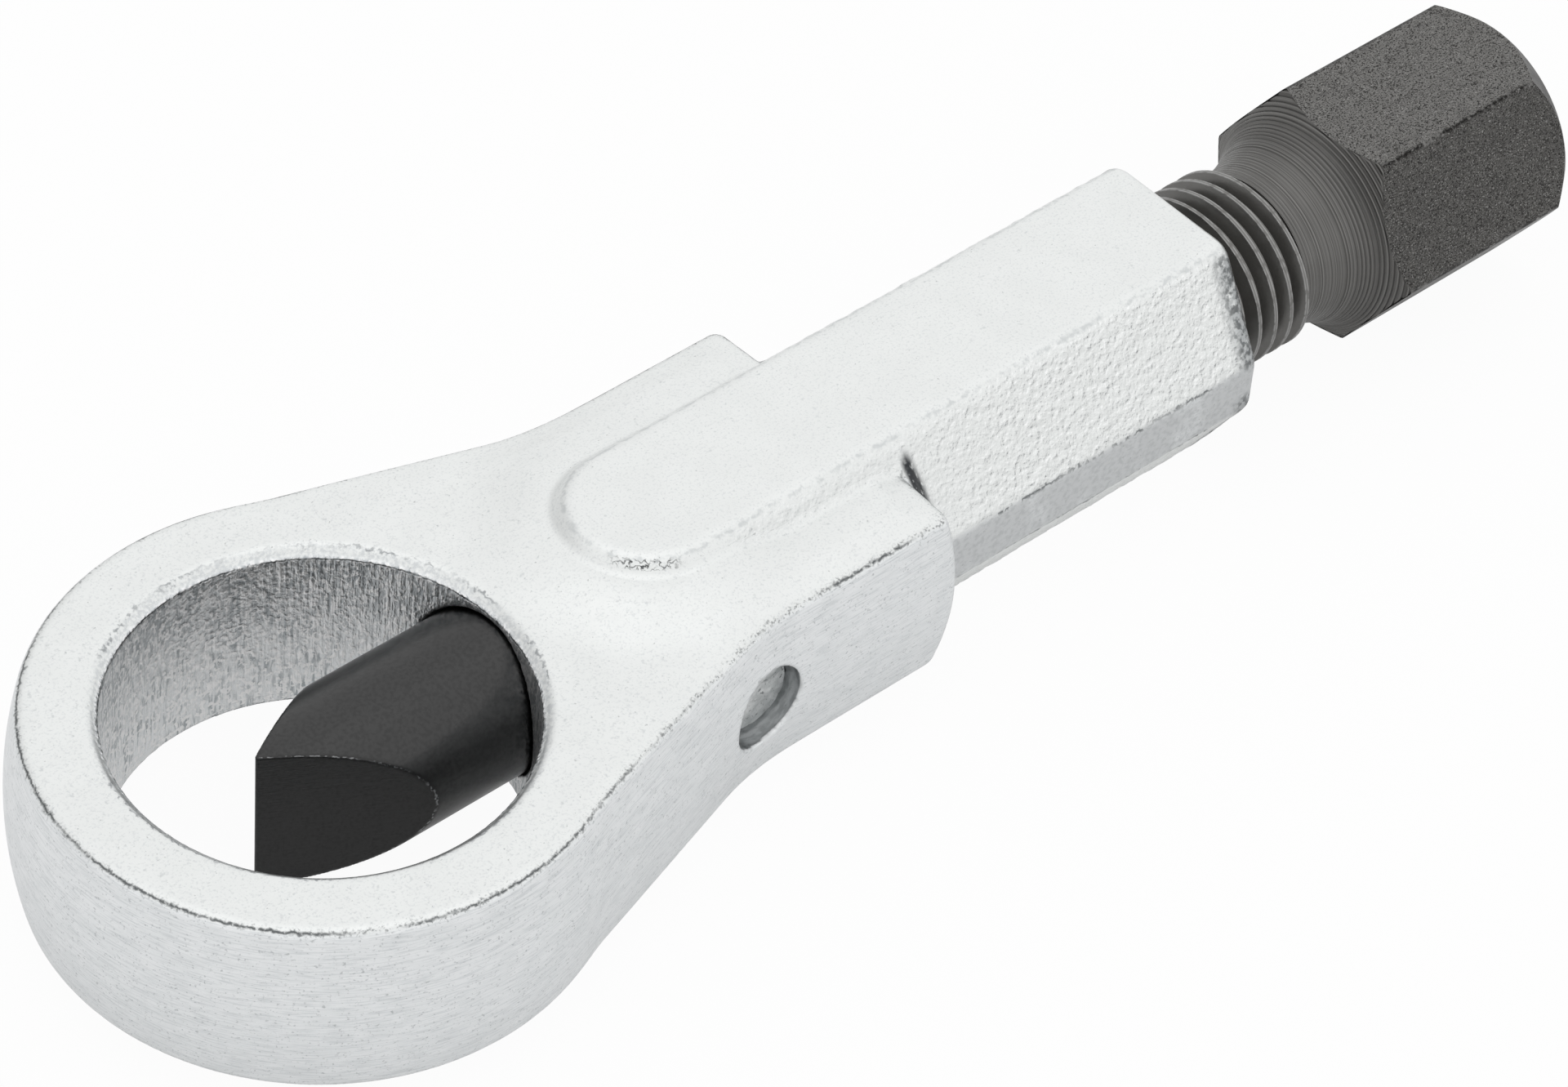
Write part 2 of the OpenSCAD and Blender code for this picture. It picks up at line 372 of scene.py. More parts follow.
@dataclass(frozen=True)
class PaintedLumpShading:
    """Painted light on the upper sides, or painted shade on the lower sides, of the small lumps of a
    hammered surface.

    Attributes:
        size: Size of one lump in millimetres.
        low: Rise of the lump, towards its upper side, where the mask is 0.
        high: Rise of the lump where the mask is full.
        step: Way from a point to the lower one that it is compared with, in lumps.
    """

    size: float
    low: float
    high: float
    step: tuple[float, float, float] = (0.08, -0.05, -0.13)

    def mask(self, tree: Tree, place: Socket) -> Socket:
        """Adds the nodes that compare the lumps with themselves a little lower down.

        Args:
            tree: Node tree of the finish.
            place: Place on the piece in metres.

        Returns:
            1 on the chosen sides of the lumps and 0 elsewhere.
        """
        in_lumps = {"operation": "SCALE", "Scale": 1 / (self.size * MM)}
        place = add_node(tree, Kind.VECTOR, in_lumps, {0: place})
        lower = add_node(tree, Kind.VECTOR, {"operation": "ADD", 1: self.step}, {0: place})
        grain = {"Scale": 1.0, "Detail": 5.0, "Roughness": 0.6}
        heights = [add_node(tree, Kind.NOISE, grain, {"Vector": p}) for p in (lower, place)]
        rise = add_node(tree, Kind.MATH, {"operation": "SUBTRACT"}, {0: heights[0], 1: heights[1]})
        window = {"interpolation_type": "SMOOTHSTEP", "From Min": self.low, "From Max": self.high}
        return add_node(tree, Kind.WINDOW, window, {"Value": rise})


@dataclass(frozen=True)
class Rings:
    """Fine lines that a turning tool leaves side by side.

    Attributes:
        layer: Layer with the distance across the lines in millimetres.
        gap: Distance from line to line in millimetres.
    """

    layer: Zone
    gap: float

    def mask(self, tree: Tree, place: Socket) -> Socket:
        """Adds the lines' nodes.

        Args:
            tree: Node tree of the finish.
            place: Place on the piece in metres, which these lines don't depend on.

        Returns:
            A value between 0 and 1 that changes from line to line.
        """
        across = add_node(tree, Kind.LAYER, {"attribute_name": self.layer.value}, out="Fac")
        settings = {"noise_dimensions": "1D", "Scale": 1 / self.gap, "Detail": 2.0}
        value = add_node(tree, Kind.NOISE, settings, {"W": across})
        window = {"From Min": NOISE_LOW, "From Max": NOISE_HIGH}
        return add_node(tree, Kind.WINDOW, window, {"Value": value})


@dataclass(frozen=True)
class Coat:
    """One tone, or one relief, that shows where all its masks overlap.

    Attributes:
        value: sRGB hex tone, or height in millimetres.
        zone: Layer that it keeps to, or None for the whole piece.
        masks: Patterns and lines that break it up.
    """

    value: str | float
    zone: Zone | None = None
    masks: tuple[Pattern | Line | PaintedLumpShading | Rings, ...] = ()

    def share(self, tree: Tree, place: Socket) -> Socket:
        """Adds the nodes for how much of it shows.

        Args:
            tree: Node tree of the finish.
            place: Place on the piece in metres.

        Returns:
            0 where it doesn't show, and 1 where it covers what lies under it.
        """
        found = [mask.mask(tree, place) for mask in self.masks]
        if self.zone:
            found.append(add_node(tree, Kind.LAYER, {"attribute_name": self.zone.value}, out="Fac"))
        share = found[0]
        for other in found[1:]:
            share = add_node(tree, Kind.MATH, {"operation": "MULTIPLY"}, {0: share, 1: other})
        return share


@dataclass(frozen=True)
class Finish:
    """A metal finish.

    Attributes:
        name: Name of the material.
        base: sRGB hex tone of the bare finish.
        tones: Tones that are laid over it in order.
        reliefs: Heights that are added up.
        sheen: Roughness at its smoothest and its dullest.
        sheen_pattern: Where it is dull.
    """

    name: str
    base: str
    tones: tuple[Coat, ...]
    reliefs: tuple[Coat, ...]
    sheen: tuple[float, float]
    sheen_pattern: Pattern

    def material(self) -> bpy.types.Material:
        """Builds the material.

        Returns:
            A metal with the tones, the sheen and the reliefs of this finish.
        """
        made = bpy.data.materials.new(self.name)
        made.use_nodes = True
        tree = made.node_tree
        shader = tree.nodes["Principled BSDF"]
        shader.inputs["Metallic"].default_value = 1.0
        place = add_node(tree, Kind.PLACE, out="Object")
        colour = None
        for tone in self.tones:
            settings = {"data_type": "RGBA", MIX_B: linear(tone.value)}
            links = {0: tone.share(tree, place)}
            if colour:
                links[MIX_A] = colour
            else:
                settings[MIX_A] = linear(self.base)
            colour = add_node(tree, Kind.MIX, settings, links, MIX_RESULT)
        tree.links.new(colour, shader.inputs["Base Color"])
        dull = self.sheen_pattern.mask(tree, place)
        smoothest, dullest = self.sheen
        reach = {"To Min": smoothest, "To Max": dullest}
        tree.links.new(add_node(tree, Kind.WINDOW, reach, {"Value": dull}), shader.inputs["Roughness"])
        height = None
        for relief in self.reliefs:
            scaled = {"operation": "MULTIPLY", 1: relief.value}
            part = add_node(tree, Kind.MATH, scaled, {0: relief.share(tree, place)})
            if height:
                part = add_node(tree, Kind.MATH, {"operation": "ADD"}, {0: height, 1: part})
            height = part
        normal = add_node(tree, Kind.BUMP, {"Strength": 1.0, "Distance": MM}, {"Height": height})
        tree.links.new(normal, shader.inputs["Normal"])
        return made


# Bright zinc plating on a steel drop forging, barrel finished. It gives the eye an almost white, softly
# mirroring metal: finely grained on the faces, lined where the flash was ground off, lumpy on the hammered
# flanks, streaked with bright spangles in the bore, and marked by thin dark lines where edges have worn.
# Painted light and shade are laid into it too: lighter upper sides and grey lower sides on the flanks'
# lumps, darker streaks towards the top of the bore, and a dark smear in the fillet behind the ears. Grain
# and grinding lines are drawn coarser than real ones, which are too fine to see.
ZINC_PLATED_FORGING = Finish(
    name="zinc_plated_forging",
    base="#EBEDEC",
    tones=(
        Coat("#E9EBEA", masks=(Pattern(4.0, 0.35, 0.65),)),
        Coat("#D2D5D6", masks=(Pattern(0.22, 0.5, 0.72, most=0.6, detail=3.0),)),
        Coat("#C0C4C5", masks=(Pattern(0.5, 0.62, 0.76, most=0.5, detail=3.0),)),
        Coat("#EFF1F2", Zone.GROUND),
        Coat("#E4E7E8", Zone.GROUND, (Pattern((2.6, 2.6, 1.6), 0.36, 0.68, most=0.5, detail=4.0),)),
        Coat("#CCD0D2", Zone.GROUND, (Pattern((2.0, 2.0, 0.13), 0.44, 0.72, most=0.6),)),
        Coat("#9EA2A4", Zone.GROUND, (Pattern((0.3, 0.3, 0.24), 0.58, 0.74, most=0.6, detail=3.0),)),
        Coat("#CED0D1", Zone.BAND, (Pattern(6.0, 0.2, 0.5, detail=3.0),)),
        Coat("#B6B9BA", Zone.BAND, (Pattern((0.6, 0.5, 0.5), 0.42, 0.68, most=0.6, detail=5.0),)),
        Coat("#F4F6F7", Zone.BORE),
        Coat("#BABFC2", Zone.BORE, (Pattern((0.3, 0.3, 1.8), 0.44, 0.62),
                                    Pattern((2.0, 2.0, 3.0), 0.36, 0.6))),
        # Painted shade: darker streaks that grow towards the top of the bore's wall
        Coat("#B2B7BA", Zone.BORE_TOP_SHADE, (Pattern((0.45, 0.45, 3.0), 0.36, 0.62, most=0.85),)),
        Coat("#FFFFFF", Zone.BORE, (Pattern((0.42, 0.42, 0.5), 0.49, 0.57, detail=5.0),)),
        Coat("#CBCDCE", Zone.HOLE),
        Coat("#8C8F90", Zone.HOLE, (Pattern((1.2, 0.5, 1.2), 0.38, 0.62, most=0.5, detail=4.0),)),
        Coat("#EAECEB", Zone.ROUGH),
        # Painted shade on the lower sides of the flank's lumps, then painted light on their upper sides
        Coat("#9C9FA1", Zone.ROUGH, (PaintedLumpShading(0.65, -0.02, -0.19),)),
        Coat("#FCFDFD", Zone.ROUGH, (PaintedLumpShading(0.65, 0.02, 0.14),)),
        # Painted shade: a dark smear in the fillet where the ears' ends meet the shank
        Coat("#3E4042", Zone.ROOT_SHADE, (Pattern((0.5, 0.5, 1.4), 0.24, 0.46, detail=4.0),)),
        Coat("#4A4C4D", Zone.CHIP, (Line(Zone.FLAT_EDGE, 0.14, 0.4, 0.7, 0.1), Pattern(0.6, 0.36, 0.5))),
        Coat("#4A4C4D", Zone.CHIP, (Line(Zone.FLAT_EDGE, 0.16, 0.5, 0.9, 0.5), Pattern(0.7, 0.36, 0.5))),
        Coat("#4A4C4D", Zone.CHIP, (Line(Zone.FLAT_EDGE, 0.12, 0.4, 0.5, 0.8), Pattern(0.5, 0.42, 0.54))),
        Coat("#ABAEAF", Zone.SHANK_END, (Pattern(0.8, 0.26, 0.52, most=0.9, detail=5.0),)),
        Coat("#626566", Zone.SHANK_END, (Pattern((0.5, 0.6, 0.6), 0.43, 0.6, most=0.85, detail=5.0),)),
        Coat("#6A6D6E", masks=(Pattern(0.3, 0.68, 0.78, most=0.4),)),
        Coat("#5E6162", Zone.WORN, (Line(Zone.RIM, 0.28, 0.12), Pattern(0.35, 0.26, 0.52, detail=4.0),
                                    Pattern(8.0, 0.32, 0.52))),
        Coat("#6E7172", masks=(Line(Zone.RIM, 0.6, 0.25), Pattern(0.25, 0.5, 0.64, most=0.7))),
        Coat("#3A3C3D", masks=(Line(Zone.MOUTH, 0.12, 0.05), Pattern(3.0, 0.3, 0.5))),
        Coat("#D4D7D8", masks=(Line(Zone.MOUTH, 0.6, 0.2, offset=0.5),
                               Pattern(0.35, 0.42, 0.62, detail=4.0))),
        Coat("#9FA2A4", masks=(Line(Zone.MOUTH, 0.22, 0.25, offset=0.85),
                               Pattern(0.5, 0.4, 0.56, detail=4.0),
                               Pattern(6.0, 0.42, 0.6))),
        Coat("#D2D5D5", masks=(Line(Zone.FLAT_EDGE, 0.4, 0.2), Pattern(0.8, 0.4, 0.6, detail=4.0))),
        Coat("#7E8182", masks=(Line(Zone.BAND_EDGE, 0.13, 0.12), Pattern(0.6, 0.36, 0.56),
                               Pattern(7.0, 0.4, 0.56))),
    ),
    reliefs=(
        Coat(0.110, Zone.ROUGH, (Pattern(0.65, 0.2, 0.8, detail=5.0),)),
        Coat(0.008, masks=(Pattern(0.5, 0.2, 0.8, detail=4.0),)),
        Coat(0.010, Zone.GROUND, (Pattern((3.2, 3.2, 0.13), 0.3, 0.7),)),
        Coat(0.040, Zone.BORE, (Pattern((0.3, 0.3, 2.6), 0.3, 0.7),)),
        Coat(0.050, Zone.BORE, (Pattern((0.42, 0.42, 0.5), 0.3, 0.7, detail=3.0),)),
    ),
    sheen=(0.33, 0.38),
    sheen_pattern=Pattern(1.0, 0.35, 0.65),
)

# Black oxide on ground tool steel, oiled. It gives the eye an even black with soft wide reflections on the
# bar, a duller ground wedge, and light steel showing through along the wedge's edges. The grinding lines
# are drawn coarser than real ones, which are too fine to see.
BLACK_OXIDE = Finish(
    name="black_oxide_tool_steel",
    base="#4A4A4A",
    tones=(
        Coat("#444444", masks=(Pattern(0.35, 0.4, 0.65, detail=3.0),)),
        Coat("#3F3F3F", Zone.WEDGE),
        Coat("#3A3A3A", Zone.WEDGE, (Pattern(0.3, 0.45, 0.7, detail=4.0),)),
        Coat("#8C8D8E", masks=(Line(Zone.WEDGE_EDGE, 0.09, 0.06, 0.4), Pattern(0.35, 0.44, 0.54),
                               Pattern(2.5, 0.34, 0.5))),
    ),
    reliefs=(
        Coat(0.002, masks=(Pattern(0.3, 0.3, 0.7),)),
        Coat(0.005, Zone.WEDGE, (Pattern((2.0, 2.0, 0.2), 0.3, 0.7),)),
    ),
    sheen=(0.22, 0.27),
    sheen_pattern=Pattern(2.0, 0.35, 0.65),
)

# Manganese phosphate on turned steel, oiled. It gives the eye a dark satin grey: speckled on the hex flats,
# which were left as drawn, finely ringed on the turned neck, and lighter where the thread's crests have
# rubbed. Painted shade darkens the neck's tool rings and the turned end, and painted light brightens the
# upward hex flat. The specks are drawn coarser than real crystals, which are too fine to see.
DARK_PHOSPHATE = Finish(
    name="manganese_phosphate_steel",
    base="#5C5B59",
    tones=(
        Coat("#82817F", Zone.NECK, (Rings(Zone.NECK_RING, 0.13),)),
        # Painted shade in the valleys of the neck's tool rings and on the turned end
        Coat("#3B3A39", Zone.NECK_SHADE),
        Coat("#757472", Zone.THREAD),
        Coat("#504F4E", Zone.HEX, (Pattern((2.0, 0.7, 0.7), 0.4, 0.64, most=0.5, detail=4.0),)),
        # Painted light: the upward hex flat is lighter than the others
        Coat("#757472", Zone.HEX_TOP_LIGHT, (Pattern((2.0, 0.9, 0.9), 0.15, 0.5, most=0.9, detail=4.0),)),
        Coat("#2A2928", Zone.HEX, (Pattern((0.17, 0.13, 0.13), 0.49, 0.62, most=0.95, detail=3.0),)),
        Coat("#2A2928", Zone.HEX, (Pattern((0.42, 0.26, 0.26), 0.58, 0.68, most=0.75, detail=3.0),)),
        Coat("#A09F9D", Zone.HEX, (Pattern((0.16, 0.12, 0.12), 0.56, 0.72, most=0.75),)),
        Coat("#A6A6A5", Zone.CREST, (Pattern(0.8, 0.3, 0.55),)),
        Coat("#8E8D8B", masks=(Line(Zone.HEX_EDGE, 0.4, 0.15, 0.7), Pattern(1.0, 0.44, 0.56))),
        Coat("#222120", masks=(Line(Zone.HEX_EDGE, 0.44, 0.18, 0.4), Pattern(0.4, 0.26, 0.46, detail=4.0),
                               Pattern(3.5, 0.26, 0.42))),
    ),
    reliefs=(
        Coat(0.010, Zone.HEX, (Pattern((0.22, 0.17, 0.17), 0.3, 0.7, detail=3.0),)),
        Coat(0.006, Zone.NECK, (Rings(Zone.NECK_RING, 0.13),)),
        Coat(0.002, masks=(Pattern(0.2, 0.3, 0.7),)),
    ),
    sheen=(0.30, 0.38),
    sheen_pattern=Pattern(1.5, 0.35, 0.65),
)

# Turned bright steel, plated with the body. It gives the eye a pale grey end with fine specks.
TURNED_PIN_STEEL = Finish(
    name="turned_pin_steel",
    base="#CFD1D1",
    tones=(
        Coat("#BEC1C1", masks=(Pattern(0.8, 0.4, 0.6),)),
        Coat("#6A6D6E", masks=(Pattern(0.3, 0.6, 0.7, most=0.8),)),
    ),
    reliefs=(Coat(0.012, masks=(Pattern(0.4, 0.3, 0.7, detail=3.0),)),),
    sheen=(0.34, 0.46),
    sheen_pattern=Pattern(1.0, 0.35, 0.65),
)

# Hardened and polished bearing steel. It gives the eye a clear mirror with a faint smear of oil.
POLISHED_BALL_STEEL = Finish(
    name="polished_bearing_steel",
    base="#D8DADB",
    tones=(Coat("#CDD0D1", masks=(Pattern(1.5, 0.4, 0.6),)),),
    reliefs=(Coat(0.001, masks=(Pattern(0.5, 0.3, 0.7),)),),
    sheen=(0.06, 0.14),
    sheen_pattern=Pattern(1.2, 0.4, 0.7),
)

# Oil-tempered spring wire. It gives the eye a brown-grey satin with fine marks along the wire.
SPRING_WIRE = Finish(
    name="oil_tempered_spring_wire",
    base="#77736F",
    tones=(Coat("#5C5957", masks=(Pattern((0.2, 1.2, 1.2), 0.42, 0.6),)),),
    reliefs=(Coat(0.004, masks=(Pattern((0.12, 1.2, 1.2), 0.3, 0.7),)),),
    sheen=(0.3, 0.42),
    sheen_pattern=Pattern(0.8, 0.35, 0.65),
)


@dataclass(frozen=True)
class Place:
    """Where the ring centre lies in the part's frame, in millimetres.

    Attributes:
        x: Along the screw.
        z: Above the surface that the part rests on.
    """

    x: float
    z: float

    def metres(self, points: np.ndarray) -> np.ndarray:
        """Moves points from the ring centre's frame to the part's frame, in metres."""
        return (points + np.array((self.x, 0.0, self.z))) * MM

    def millimetres(self, points: np.ndarray) -> np.ndarray:
        """Moves points from the part's frame, in metres, to the ring centre's frame."""
        return points / MM - np.array((self.x, 0.0, self.z))


@dataclass(frozen=True)
class Piece:
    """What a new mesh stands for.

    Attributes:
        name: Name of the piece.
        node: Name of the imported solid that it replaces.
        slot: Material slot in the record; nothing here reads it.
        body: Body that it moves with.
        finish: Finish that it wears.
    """

    name: str
    node: str
    slot: str
    body: Body
    finish: Finish

    def make(self, points: np.ndarray, faces: np.ndarray) -> bpy.types.Object:
        """Makes the mesh, dresses it and lets it move with its body.

        Args:
            points: Points in metres, one to a row.
            faces: Rows of point numbers.

        Returns:
            The new object.
        """
        mesh = bpy.data.meshes.new(self.name)
        mesh.from_pydata(points.tolist(), [], faces.tolist())
        mesh.materials.append(self.finish.material())
        mesh.shade_smooth()
        made = bpy.data.objects.new(self.name, mesh)
        bpy.context.scene.collection.objects.link(made)
        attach(made, self.body.value)
        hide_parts(self.node)
        return made


def grid_faces(rows: int, columns: int) -> np.ndarray:
    """Gives the quads of a grid of points, numbered row by row."""
    here = np.arange(rows - 1)[:, None] * columns + np.arange(columns - 1)
    return np.stack((here, here + 1, here + columns + 1, here + columns), axis=-1).reshape(-1, 4)


def weld(made: bpy.types.Object, sharp_deg: float = 32.0, seam: float = 2e-6, sliver: float = 1e-7) -> None:
    """Closes the seam and the ends of a turned mesh, and keeps its sharp edges sharp.

    Args:
        made: Object with the mesh.
        sharp_deg: Bend in degrees from which an edge is sharp.
        seam: Distance in metres within which points become one.
        sliver: Length in metres below which an edge is taken out.
    """
    shell = bmesh.new()
    shell.from_mesh(made.data)
    bmesh.ops.remove_doubles(shell, verts=shell.verts, dist=seam)
    bmesh.ops.dissolve_degenerate(shell, edges=shell.edges, dist=sliver)
    shell.to_mesh(made.data)
    shell.free()
    made.data.set_sharp_from_angle(angle=math.radians(sharp_deg))


def add_layers(made: bpy.types.Object, layers: Mapping[Zone, np.ndarray]) -> None:
    """Stores the layers of a finish on a mesh.

    Args:
        made: Object with the mesh.
        layers: One value to a point for each layer.
    """
    for zone, values in layers.items():
        layer = made.data.attributes.new(zone.value, "FLOAT", "POINT")
        layer.data.foreach_set("value", values.astype(np.float32))
    LOG.info("%s: %d points, %d faces", made.name, len(made.data.vertices), len(made.data.polygons))


@dataclass
class ForgedBody:
    """Ring, web, ears and shank in one forging, with its bores.

    Sizes are millimetres, and heights are from the parting plane at mid height. A pair holds the two ends of
    a gradual change. ear_rough and web_clean are shares.
    """

    place: Place
    # Ring
    ring_r: float = 25.8
    bore_r: float = 18.0
    bore_bevel: float = 0.9
    face_z: float = 9.2
    side_draft: float = 1.1
    plate_edge: float = 0.8
    # Web and ears
    web_r: float = 25.5
    web_bend: float = 1.3
    ring_blend: float = 0.4
    ear_start: float = 35.0
    ear_end: float = 57.0
    ear_side: float = 16.0
    ear_corner: float = 1.2
    ear_z: float = 8.5
    shoulder_start: float = 12.0
    shoulder_w: float = 4.0
    # Shank
    nose_x: float = 34.5
    shank_end: float = 96.8
    flat_z: float = 12.0
    flat_half: float = 7.0
    flank_half: float = 12.45
    band_z: float = 1.85
    band_low: float = 3.2
    flat_edge: float = 1.1
    band_edge: float = 0.35
    end_edge: float = 1.3
    # Where the shank grows out of web and ears
    root_fillet: float = 0.5
    end_fillet: float = 2.6
    fillet_run: float = 1.5
    nose_swell: float = 1.5
    ear_swell: float = 0.5
    swell_run: float = 10.0
    swell_w: float = 9.5
    swell_top: float = 0.5
    # Bores along the screw and the pin's hole
    guide_r: float = 7.8
    guide_end: float = 54.0
    thread_r: float = 9.1
    mouth_bevel: float = 0.9
    pin_x: float = 34.9
    pin_r: float = 4.0
    cut_edge: float = 0.25
    # Mesh and lumps
    cell: float = 0.36
    flank_lump: float = 0.09
    flank_grain: float = 1.0
    face_lump: float = 0.006
    face_grain: float = 5.0
    # Reach of the finish's layers
    line_reach: float = 0.5
    mouth_reach: float = 1.0
    wall_slack: float = 0.05
    # Heights over which the painted shade at the top of the bore fades in
    bore_top: tuple[float, float] = (-4.0, 9.0)
    nose_run: float = 6.0
    ear_rough: float = 0.5
    rough_x: tuple[float, float] = (51.0, 71.0)
    # Wear, and painted shade in the fillet behind the ears
    root_x: tuple[float, float] = (56.0, 56.5)
    root_z: tuple[float, float] = (3.5, 7.0)
    chip_at: tuple[float, float, float] = (30.1, -5.2, 11.6)
    chip_reach: tuple[float, float] = (1.6, 3.6)
    chip_band: tuple[float, float] = (0.5, 0.8)
    strip_w: tuple[float, float] = (1.1, 3.4)
    strip_z: tuple[float, float] = (1.0, 2.2)
    web_from: tuple[float, float] = (13.0, 18.0)
    web_to: tuple[float, float] = (37.0, 32.0)
    web_clean: float = 0.75

    def __post_init__(self) -> None:
        """Works out the web's line to the ring and the lean of the flanks."""
        reach = math.hypot(self.ear_start, self.ear_side)
        turn = math.atan2(self.ear_side, self.ear_start) + math.acos(self.web_r / reach)
        self.web_normal = (math.cos(turn), math.sin(turn))
        self.flanks = [self.flank_plane(band_z) for band_z in (self.band_z, self.band_low)]

    def flank_plane(self, band_z: float) -> tuple[float, float, float]:
        """Gives the lean of a flank that runs from the flat's edge to the band.

        Args:
            band_z: Height of the band's edge from the parting plane.

        Returns:
            The plane's share across, its share upwards, and its distance from the axis.
        """
        lean = math.atan2(self.flank_half - self.flat_half, self.flat_z - band_z)
        distance = self.flank_half * math.cos(lean) + band_z * math.sin(lean)
        return math.cos(lean), math.sin(lean), distance

    def surfaces(self, x: np.ndarray, y: np.ndarray, z: np.ndarray) -> dict[str, np.ndarray]:
        """Signed distances to the body's outer surfaces.

        Args:
            x: Along the screw.
            y: Across.
            z: Height from the parting plane.

        Returns:
            Distance to each surface, by its name.
        """
        out, up = np.abs(y), np.abs(z)
        web = x * self.web_normal[0] + out * self.web_normal[1] - self.web_r
        strap = smooth_min(web, out - self.ear_side, self.web_bend)
        strap = smooth_max(strap, x - self.ear_end, self.ear_corner)
        strap = np.maximum(strap, self.web_r * self.web_normal[0] - x)
        plan = smooth_min(np.hypot(x, y) - self.ring_r, strap, self.ring_blend)
        shoulder = np.clip(1 + plan / self.shoulder_w, 0, 1)
        shoulder = shoulder * smooth_step(self.shoulder_start, self.ear_start, x)
        across = np.where(x < self.nose_x, np.hypot(x - self.nose_x, y), out)
        lean_out, lean_up, flank_out = (np.where(z < 0, low, high) for high, low in zip(*self.flanks))
        past_nose = smooth_step(0.0, self.swell_run, x - self.nose_x)
        swell = self.nose_swell + (self.ear_swell - self.nose_swell) * past_nose
        swell = swell * smooth_step(self.swell_w, self.swell_top, across - self.flat_half)
        return {
            "side": plan + self.side_draft * (up / self.face_z) ** 2,
            "face": up - self.face_z + (self.face_z - self.ear_z) * shoulder - swell,
            "flat": up - self.flat_z,
            "flank": across * lean_out + up * lean_up - flank_out,
            "band": across - self.flank_half,
        }

    def plate(self, surfaces: Mapping[str, np.ndarray]) -> np.ndarray:
        """Distance to ring, web and ears."""
        return smooth_max(surfaces["side"], surfaces["face"], self.plate_edge)

    def shank(self, x: np.ndarray, surfaces: Mapping[str, np.ndarray]) -> np.ndarray:
        """Distance to the six-sided shank.

        Args:
            x: Along the screw.
            surfaces: Distance to each outer surface, by its name.

        Returns:
            Signed distance, negative inside.
        """
        shank = smooth_max(surfaces["flat"], surfaces["flank"], self.flat_edge)
        shank = smooth_max(shank, surfaces["band"], self.band_edge)
        return smooth_max(shank, x - self.shank_end, self.end_edge)

    def outside(self, x: np.ndarray, y: np.ndarray, z: np.ndarray) -> np.ndarray:
        """Distance to the forging before it is bored.

        Args:
            x: Along the screw.
            y: Across.
            z: Height from the parting plane.

        Returns:
            Signed distance, negative inside the metal.
        """
        found = self.surfaces(x, y, z)
        past_ear = smooth_step(self.ear_end - self.fillet_run, self.ear_end, x)
        fillet = self.root_fillet + (self.end_fillet - self.root_fillet) * past_ear
        return smooth_min(self.plate(found), self.shank(x, found), fillet)

    def ring_bore(self, x: np.ndarray, y: np.ndarray, z: np.ndarray) -> np.ndarray:
        """Distance to the wall of the ring's bore and its bevel.

        Args:
            x: Along the screw.
            y: Across.
            z: Height from the parting plane.

        Returns:
            Signed distance, negative inside the metal.
        """
        ring = np.hypot(x, y)
        bevel = (self.bore_r + self.bore_bevel + np.abs(z) - self.face_z - ring) * math.sqrt(0.5)
        return np.maximum(self.bore_r - ring, bevel)

    def field(self, x: np.ndarray, y: np.ndarray, z: np.ndarray) -> np.ndarray:
        """Distance to the bored forging.

        Args:
            x: Along the screw.
            y: Across.
            z: Height from the parting plane.

        Returns:
            Signed distance, negative inside the metal.
        """
        solid = smooth_max(self.outside(x, y, z), self.ring_bore(x, y, z), self.cut_edge)
        round_x = np.hypot(y, z)
        guide = np.maximum(np.maximum(round_x - self.guide_r, x - self.guide_end), -x)
        solid = smooth_max(solid, -guide, self.cut_edge)
        thread = np.maximum(round_x - self.thread_r, self.guide_end - x)
        mouth = (round_x - self.thread_r - self.mouth_bevel - x + self.shank_end) * math.sqrt(0.5)
        solid = smooth_max(solid, -np.minimum(thread, mouth), self.cut_edge)
        pin = np.maximum(np.hypot(x - self.pin_x, z) - self.pin_r, y)
        return smooth_max(solid, -pin, self.cut_edge)

    def build(self) -> None:
        """Meshes the body, roughens it as forged and dresses it."""
        low = Vector((-self.ring_r, -self.ring_r, -self.flat_z))
        high = Vector((self.shank_end, self.ring_r, self.flat_z))
        points, quads = mesh_field(self.field, low, high, self.cell)
        layers = self.layers(points)
        slope = field_slope(self.field, points)
        slope /= np.linalg.norm(slope, axis=1)[:, None]
        lumps = self.flank_lump * layers[Zone.ROUGH] * noise_at(points, self.flank_grain)
        hollows = noise_at(points, self.face_grain, octaves=2) - 1
        lumps += self.face_lump * (1 - layers[Zone.BORE]) * hollows
        points = points + slope * lumps[:, None]
        piece = Piece("forged_body_skin", "forged_body", "zinc_steel", Body.FRAME, ZINC_PLATED_FORGING)
        add_layers(piece.make(self.place.metres(points), quads), layers)

    def layers(self, points: np.ndarray) -> dict[Zone, np.ndarray]:
        """Works out where each point lies on the forging.

        Args:
            points: Points on the surface.

        Returns:
            One value to a point for each layer of the finish.
        """
